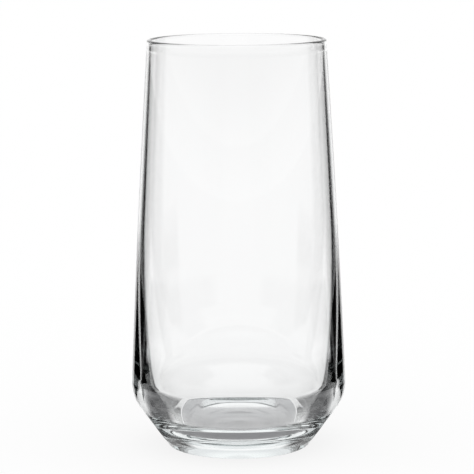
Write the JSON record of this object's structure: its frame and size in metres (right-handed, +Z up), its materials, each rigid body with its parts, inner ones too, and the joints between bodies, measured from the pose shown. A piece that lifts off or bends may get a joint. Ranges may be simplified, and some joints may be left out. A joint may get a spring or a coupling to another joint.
{
  "type": "highball glass",
  "caption": "Tall clear glass tumbler: a straight wall that widens gently down to a rounded shoulder, a short cone and a heavy base on a smaller foot.",
  "frame": {"origin": "on the axis of the glass, in the plane that it stands on", "axes": "+Z up along the axis, from the foot to the rim; the glass is round, so X and Y are alike, and the picture looks along +Y"},
  "size_m": [0.0792, 0.0792, 0.15],
  "materials": {
    "clear_glass": "clear soda-lime glass, smooth from the mould and fire-polished at the rim"
  },
  "bodies": {
    "root": {"tumbler": "clear_glass"}
  },
  "joints": []
}
